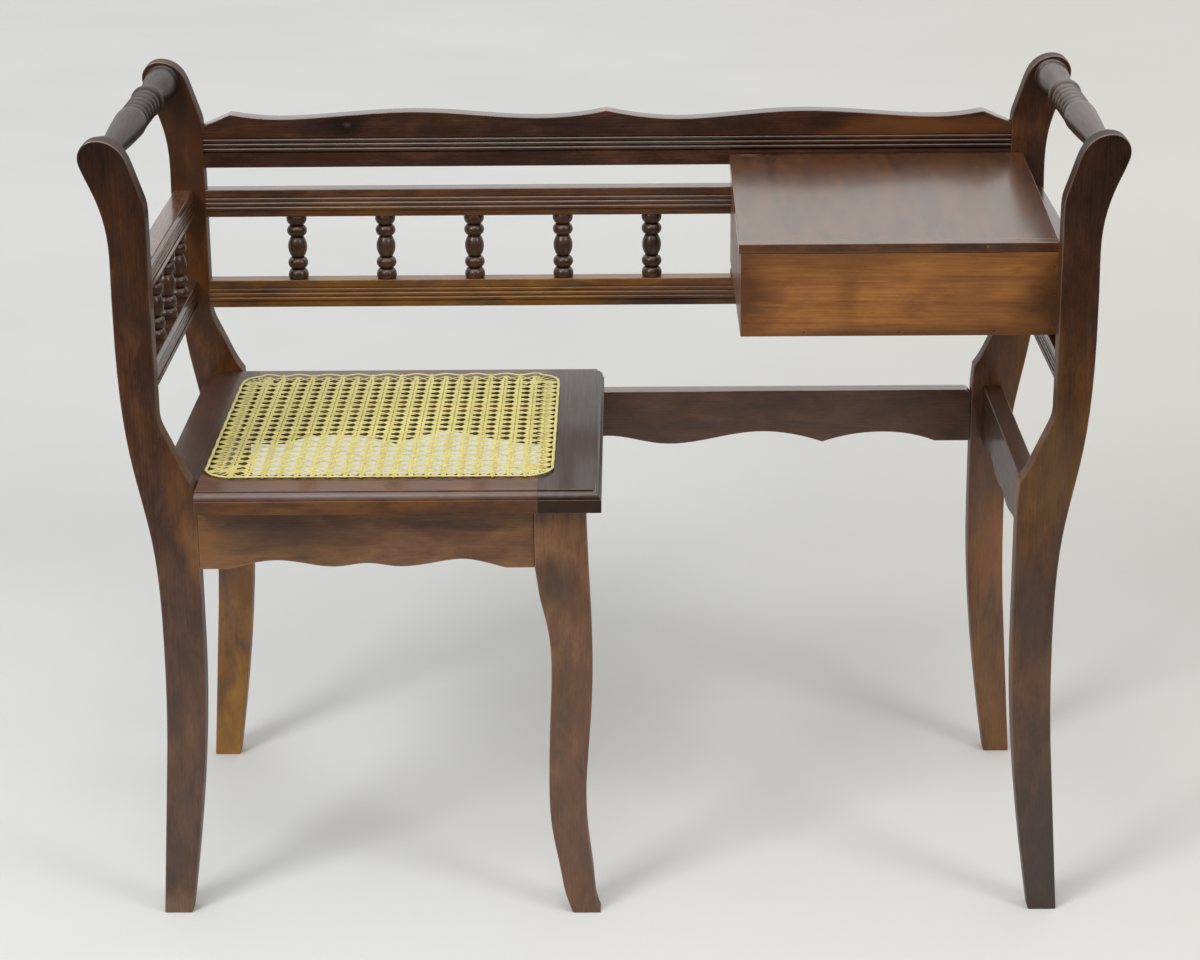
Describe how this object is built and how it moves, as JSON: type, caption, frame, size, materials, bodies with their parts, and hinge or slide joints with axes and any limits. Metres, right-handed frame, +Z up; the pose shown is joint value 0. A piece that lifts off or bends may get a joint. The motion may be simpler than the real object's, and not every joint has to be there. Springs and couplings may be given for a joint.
{
  "type": "telephone bench",
  "caption": "Dark wood telephone bench with a caned seat, turned spindle back and side rails, scrolled end boards and a lidded book box.",
  "frame": {"origin": "on the floor, under the middle of the bounding box", "axes": "+X to the sitter's-left end as seen from the front, where the box is; +Y to the back; +Z up"},
  "size_m": [0.976, 0.438, 0.7901],
  "materials": {
    "walnut_stained_hardwood": "satin",
    "chestnut_stained_wood": "satin",
    "secondary_softwood": "matte",
    "woven_cane": "satin",
    "beech_dowel": "matte",
    "aged_brass": "satin",
    "blackened_steel": "matte"
  },
  "bodies": {
    "frame": {"apron_dowels": "beech_dowel", "back_left_upright": "walnut_stained_hardwood", "back_lower_rail": "walnut_stained_hardwood", "back_rail_dowels": "beech_dowel", "back_right_upright": "walnut_stained_hardwood", "back_spindles": "walnut_stained_hardwood", "back_stretcher": "walnut_stained_hardwood", "back_upper_rail": "walnut_stained_hardwood", "box_back": "secondary_softwood", "box_bottom": "secondary_softwood", "box_front": "chestnut_stained_wood", "box_left_side": "chestnut_stained_wood", "box_pins": "blackened_steel", "box_right_side": "chestnut_stained_wood", "box_screws": "blackened_steel", "cane_binder": "woven_cane", "crest_rail": "walnut_stained_hardwood", "front_apron": "walnut_stained_hardwood", "front_left_upright": "walnut_stained_hardwood", "front_right_upright": "walnut_stained_hardwood", "hinge_screws_box": "blackened_steel", "left_arm_rail": "walnut_stained_hardwood", "left_handle": "walnut_stained_hardwood", "left_lower_rail": "walnut_stained_hardwood", "left_seat_rail": "walnut_stained_hardwood", "left_side_spindles": "walnut_stained_hardwood", "lid_hinge_box_leaves": "aged_brass", "right_arm_rail": "walnut_stained_hardwood", "right_handle": "walnut_stained_hardwood", "right_lower_rail": "walnut_stained_hardwood", "right_seat_rail": "walnut_stained_hardwood", "right_side_spindles": "walnut_stained_hardwood", "seat_back_batten": "secondary_softwood", "seat_back_rail": "walnut_stained_hardwood", "seat_cane": "woven_cane", "seat_frame_dowels": "beech_dowel", "seat_front_batten": "secondary_softwood", "seat_front_leg": "walnut_stained_hardwood", "seat_front_rail": "walnut_stained_hardwood", "seat_inner_apron": "secondary_softwood", "seat_left_stile": "walnut_stained_hardwood", "seat_right_stile": "walnut_stained_hardwood", "seat_screws": "blackened_steel", "side_rail_dowels": "beech_dowel"},
    "box_lid": {"box_lid": "walnut_stained_hardwood", "lid_lipping": "walnut_stained_hardwood", "lipping_pins": "blackened_steel", "lid_hinge_lid_leaves": "aged_brass", "lid_hinge_pins": "aged_brass", "hinge_screws_lid": "blackened_steel"}
  },
  "joints": [
    {"name": "lid_hinge", "type": "hinge", "parent": "frame", "child": "box_lid", "pos_m": [0.28525, 0.1883, 0.6845], "axis": [-1, 0, 0], "range_deg": [0, 97]}
  ]
}
